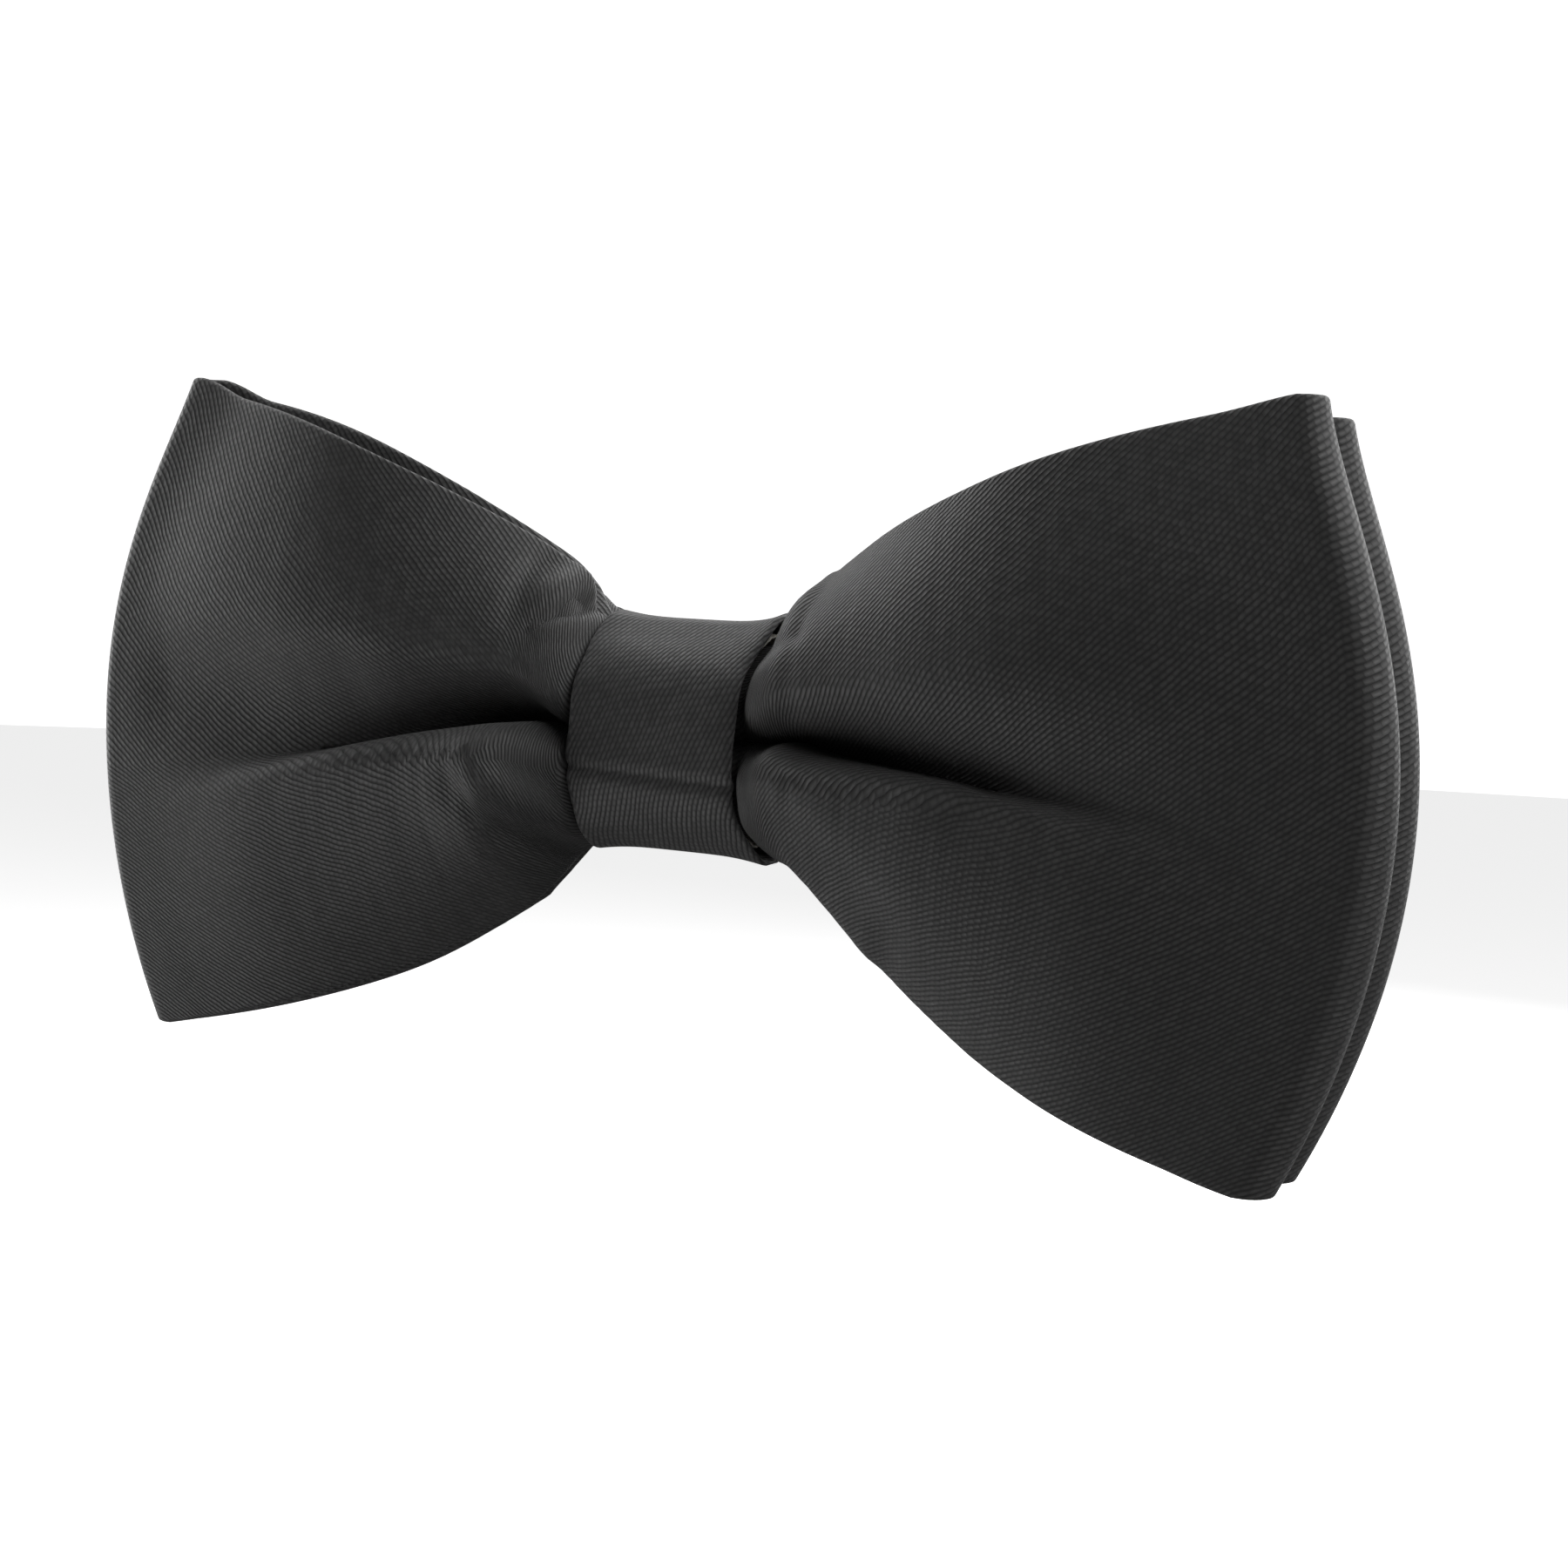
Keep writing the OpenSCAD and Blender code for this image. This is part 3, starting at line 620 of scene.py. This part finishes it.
def make_tubes(name, paths, radius, material, sides, plies=1, lay=2.2):
    """Tubes along the paths, round or of twisted plies; lay is the length of one turn of the twist."""
    ply_depth, tip = 0.16, 0.55
    points, quads, uvs, caps = [], [], [], []
    around = 2 * np.pi * np.arange(sides) / sides
    base = 0
    for path in paths:
        along = unit(np.gradient(path, axis=0))
        aside = np.array([0.0, 0.0, 1.0]) if abs(along[0][2]) < 0.9 else np.array([1.0, 0.0, 0.0])
        side = [unit(np.cross(along[0], aside))]
        for t in along[1:]:
            side.append(unit(side[-1] - t * np.dot(side[-1], t)))
        side = np.array(side)
        other = np.cross(along, side)
        u = distance_along(path)
        radii = np.full((len(path), sides), float(radius))
        if plies > 1:
            twist = plies * (around[None, :] / 2 + np.pi * u[:, None] / lay)
            radii *= 1 - ply_depth * (1 - np.abs(np.cos(twist)))
        radii[[0, -1]] *= tip
        spokes = (np.cos(around)[None, :, None] * side[:, None]
                  + np.sin(around)[None, :, None] * other[:, None])
        points.append((path[:, None] + radii[..., None] * spokes).reshape(-1, 3))
        quads.append(wall_quads(len(path), sides, base, True))
        v = np.arange(sides + 1) * 2 * np.pi * radius / sides
        uvs.append(wall_uvs(np.repeat(u[:, None], sides + 1, 1), np.repeat(v[None, :], len(path), 0), True))
        caps += end_caps(len(path), sides, base, True)
        base += len(path) * sides
    return make_mesh(name, np.concatenate(points), np.concatenate(quads), np.concatenate(uvs), material,
                     caps, end_uvs(sides) * len(paths))


# ---------------------------------------------------------------- the knot
def knot_path(start_out, end_out, z_start, z_end):
    """Once round the bundle, drawn tight over it: from z_start behind, over the top, down the front and up
    behind to z_end. It starts start_out from the bundle and ends end_out from it."""
    points = [(BUNDLE_BACK + start_out, z_start)]
    for deg in range(0, 361, 3):
        normal = np.array([math.cos(math.radians(deg)), math.sin(math.radians(deg))])
        out = start_out + (end_out - start_out) * ease((deg - 285) / 60.0)
        at = BUNDLE[np.argmax(BUNDLE @ normal)] + out * normal
        if (deg < 60 and at[1] > z_start) or 60 <= deg <= 300 or at[1] < z_end:
            points.append(tuple(at))
    points.append((BUNDLE_BACK + end_out, z_end))
    return resample(np.array([(0.0, y + BUNDLE_Y, z + LIFT) for y, z in points]), 0.35)


def knot_face(c, at):
    """Lift of the ribbon's face at shares c across, and its half width: a crease crosses the front, and
    the edges stand up a little where the ribbon turns over the bundle."""
    z, front = at[2] - LIFT, ease((BUNDLE_Y - at[1]) / 3.0)
    above = z + 3.1 + 0.25 * c
    step = 0.10 * ease(above / 1.2) * (1 - 0.8 * ease(z / 6.0)) - 0.36 * np.exp(-(above / 0.42) ** 2)
    crown = 0.15 * (1 - c ** 2) * np.exp(-((z - 2.5) / 4.0) ** 2)
    lift = front * (step + crown + 0.04 * np.sin(1.3 * z + 2.0 * c))
    turned = ease((abs(z) - 5.5) / 3.5)
    edges = (0.55 + 0.5 * ((z > 0) & (c > 0))) * turned * np.abs(c) ** 4
    return lift + edges, KNOT_W / 2 * (1 - 0.03 * front * (1 - turned) + 0.03 * turned)


def make_ribbon(name, path, width, t, material, face=None):
    """A band t thick along a path in the (back, up) plane. face gives its lift and half width at a place;
    without it, the band is flat across."""
    outward = np.cross(unit(np.gradient(path, axis=0)), np.array([1.0, 0.0, 0.0]))
    c = np.linspace(-1, 1, RIBBON_ACROSS + 1)
    r = t / 2
    edge = np.pi * np.arange(1, RIBBON_RIM) / RIBBON_RIM
    rings = []
    for at, out in zip(path, outward):
        lift, half = face(c, at) if face else (0 * c, width / 2)
        flat = half - r
        x = np.concatenate([c * flat, flat + r * np.sin(edge), c[::-1] * flat, -flat - r * np.sin(edge)])
        lifts = np.concatenate([lift, np.full(len(edge), lift[-1]), lift[::-1], np.full(len(edge), lift[0])])
        thick = np.concatenate([np.full(len(c), r), r * np.cos(edge), np.full(len(c), -r), -r * np.cos(edge)])
        thin = 1 - 0.45 * np.abs(x / half) ** 8
        rings.append(at + x[:, None] * np.array([1.0, 0, 0]) + (thick * thin + lifts)[:, None] * out)
    rings = np.array(rings)
    stations, sides = rings.shape[:2]
    flat = width / 2 - r
    v = np.concatenate([c * flat, flat + r * edge, width / 2 + 2 * r + (1 - c[::-1]) * flat,
                        1.5 * width + r + r * edge, [1.5 * width + 4 * r]])
    uvs = wall_uvs(np.repeat(distance_along(path)[:, None], sides + 1, 1),
                   np.repeat(v[None, :], stations, 0), True)
    return make_mesh(name, rings.reshape(-1, 3), wall_quads(stations, sides, 0, True), uvs, material,
                     end_caps(stations, sides, 0, True), end_uvs(sides))


# ---------------------------------------------------------------- threads
BINDING_TURNS = 5
TACKS = 5
LAP_EDGE_Z = LIFT + LAP_HALF + THREAD_D / 2
LAP_Y = -PLATE_T - GAP
HOLE_X, HOLE_Z = 3.2, 2.4      # the clip plate's sewing holes
SEW_THREAD_R = 0.15


def binding_path():
    """The gather thread: turns side by side round the pleated middle."""
    ring = knot_path(THREAD_D / 2, THREAD_D / 2, 0.0, 0.0)
    points = []
    for i in range(BINDING_TURNS):
        part = ring.copy()
        part[:, 0] = (i - BINDING_TURNS / 2 + np.linspace(0, 1, len(ring))) * THREAD_D
        points.append(part[:-1])
    return resample(np.concatenate(points), 0.3)


def tack_path(i):
    """One stitch over the lapped ribbon's upper edge."""
    middle = np.array([(i - (TACKS - 1) / 2) * KNOT_W / 6, LAP_Y, LAP_EDGE_Z])
    route = [(-0.35, -1.2, 0.1), (-0.3, -0.5, 0.12), (-0.12, 0.2, -0.1), (0.15, 0.25, -0.6),
             (0.3, 0.1, -1.1), (0.32, -0.4, -1.25)]
    return smooth_path(middle + np.array(route), 0.12)


def clip_stitch_path(x, strand):
    """One strand (-1, 0 or 1) of a stitch, from hole to hole over the plate's back."""
    aside, over = 0.2 * strand, 0.32 - 0.08 * abs(strand)
    half = [(0.5, -1.1, HOLE_Z - 0.05 * strand), (0.6, -0.4, HOLE_Z - 0.02 * strand),
            (1.0, over - 0.08, HOLE_Z - 0.3)]
    route = [(k, y, -z) for k, y, z in half] + [(1.4, over, 0.0)] + half[::-1]
    return smooth_path([(x + aside * k, y, z) for k, y, z in route], 0.15)


# ---------------------------------------------------------------- springs
PIN_X, PIN_Y = 11.2, 3.4       # the hinge pins
WEB_Y, SHEET_T = 6.65, 0.7     # the jaw levers' sheet
WIRE_D, COIL_R, COIL_HALF, COIL_TURNS = 0.5, 1.35, 2.0, 4.5


def spring_path(side):
    """A coil round the pin, with one leg on the plate and one on the lever; side is -1 for the left."""
    a = np.radians(np.arange(0, 360 * COIL_TURNS + 1, 10.0))
    coil = np.stack([PIN_X + COIL_R * np.cos(a - np.pi / 2), PIN_Y + COIL_R * np.sin(a - np.pi / 2),
                     COIL_HALF * (2 * a / (2 * np.pi * COIL_TURNS) - 1)], -1)
    plate_leg = np.array([[PIN_X - 2.9, WIRE_D / 2 + 0.1, -COIL_HALF]])
    lever_leg = np.array([[PIN_X - 5.2, WEB_Y - SHEET_T / 2 - WIRE_D / 2 - 0.1, COIL_HALF]])
    return resample(np.concatenate([plate_leg, coil, lever_leg]), 0.16) * np.array([side, 1.0, 1.0])


# ---------------------------------------------------------------- make everything
make_camera()
# The knot's copy has lighter crowns than the wings' (0.080 against 0.058): the same satin, with a brighter
# painted highlight on the knot.
satin_bow = satin("satin_bow", -28.0, 0.44, 0.058)
satin_knot = satin("satin_knot", -25.0, 0.42, 0.080)
lining = canvas("interlining_canvas")
cotton = thread("sewing_thread")
nickel = metal("nickel_plate", 0.80, 0.36, 0.25)
wire = metal("spring_wire", 0.55, 0.28, 0.5)

front_bow, front_form = make_bow(0, "front_bow", satin_bow)
rear_bow, rear_form = make_bow(1, "rear_bow", satin_bow)
front_lining = make_stiffener("front_stiffener", front_form, lining)
rear_lining = make_stiffener("rear_stiffener", rear_form, lining)
ribbon_path = knot_path(WRAP_OUT + RIBBON_T / 2, WRAP_OUT + 1.5 * RIBBON_T, -LAP_HALF, LAP_HALF)
knot = make_ribbon("knot_ribbon", ribbon_path, KNOT_W, RIBBON_T, satin_knot, knot_face)
lining_path = knot_path(LINING_OUT - 0.15, LINING_OUT - 0.15, 0.1, -0.1)
knot_lining = make_ribbon("knot_stiffener", lining_path, KNOT_W - 2, 0.3, lining)
binding = make_tubes("gather_binding", [binding_path()], THREAD_D / 2 * 0.98, cotton, 10, 2)
tacks = make_tubes("tack_stitches", [tack_path(i) for i in range(TACKS)], THREAD_D * 0.4, cotton, 10, 2, 1.4)
strands = [clip_stitch_path(x, strand) for x in (-HOLE_X, HOLE_X) for strand in (-1, 0, 1)]
sewing = make_tubes("clip_stitches_thread", strands, SEW_THREAD_R, cotton, 10, 2, 0.9)
springs = {}
for side, word in ((-1, "left"), (1, "right")):
    springs[word] = make_tubes(word + "_torsion_spring", [spring_path(side)], WIRE_D / 2, wire, 12)

# ---------------------------------------------------------------- riding, replacing, plating the rest
for piece, node, slot in ((front_bow, "front_bow_shell", "satin"), (rear_bow, "rear_bow_shell", "satin"),
                          (front_lining, "front_bow_interlining", "interlining"),
                          (rear_lining, "rear_bow_interlining", "interlining"),
                          (knot, "knot_wrap", "satin"), (knot_lining, "knot_interlining", "interlining"),
                          (binding, "gather_thread", "thread"), (tacks, "knot_tack_stitches", "thread"),
                          (sewing, "clip_stitches", "thread")):
    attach(piece, "bow")
    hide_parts(node)
for word, side in (("left", -1), ("right", 1)):
    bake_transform(springs[word])
    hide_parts(word + "_spring")

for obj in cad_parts.values():
    if not obj.hide_render:
        obj.data.materials.clear()
        obj.data.materials.append(nickel)


# ---------------------------------------------------------------- stage and light
def make_stage():
    """A floor and a dome that show behind the bow but light nothing."""
    bpy.ops.mesh.primitive_circle_add(vertices=96, radius=4.0, fill_type="NGON", location=(0, 0, -0.2))
    floor = bpy.context.object
    floor.name = "studio_floor"
    floor.data.materials.append(pale("pale_floor", 0.8))
    bpy.ops.mesh.primitive_uv_sphere_add(segments=64, ring_count=32, radius=3.5)
    dome = bpy.context.object
    dome.name = "studio_backdrop"
    dome.data.materials.append(pale("pale_backdrop", 1.1))
    for obj in (floor, dome):
        obj.visible_diffuse = obj.visible_glossy = obj.visible_shadow = False


def set_view_and_world():
    scene = bpy.context.scene
    scene.view_settings.view_transform = "Standard"
    scene.view_settings.look = "None"
    scene.world = bpy.data.worlds.new("studio")
    scene.world.use_nodes = True
    background = scene.world.node_tree.nodes["Background"]
    background.inputs["Color"].default_value = (1.0, 1.0, 1.0, 1.0)
    background.inputs["Strength"].default_value = 0.05


def soft_box(name, az, el, size, power):
    """A square soft box one metre off, az degrees round from the front and el up, turned to the bow."""
    az, el = math.radians(az), math.radians(el)
    place = Vector((math.sin(az) * math.cos(el), -math.cos(az) * math.cos(el), math.sin(el)))
    light = bpy.data.lights.new(name, "AREA")
    light.shape = "RECTANGLE"
    light.size = light.size_y = size
    light.energy = power
    obj = bpy.data.objects.new(name, light)
    obj.location = place
    obj.rotation_euler = (-place).to_track_quat("-Z", "Y").to_euler()
    obj.visible_camera = False
    bpy.context.collection.objects.link(obj)


set_view_and_world()
make_stage()
soft_box("high_left_light", -100, 40, 0.7, 3.6)
soft_box("left_light", -98, 5, 0.7, 5.0)
soft_box("low_left_light", -60, -30, 0.7, 4.0)
soft_box("high_right_light", 80, 40, 0.7, 7.8)
soft_box("low_right_light", 60, -30, 0.7, 1.6)
soft_box("back_light", 170, 35, 1.4, 18.0)
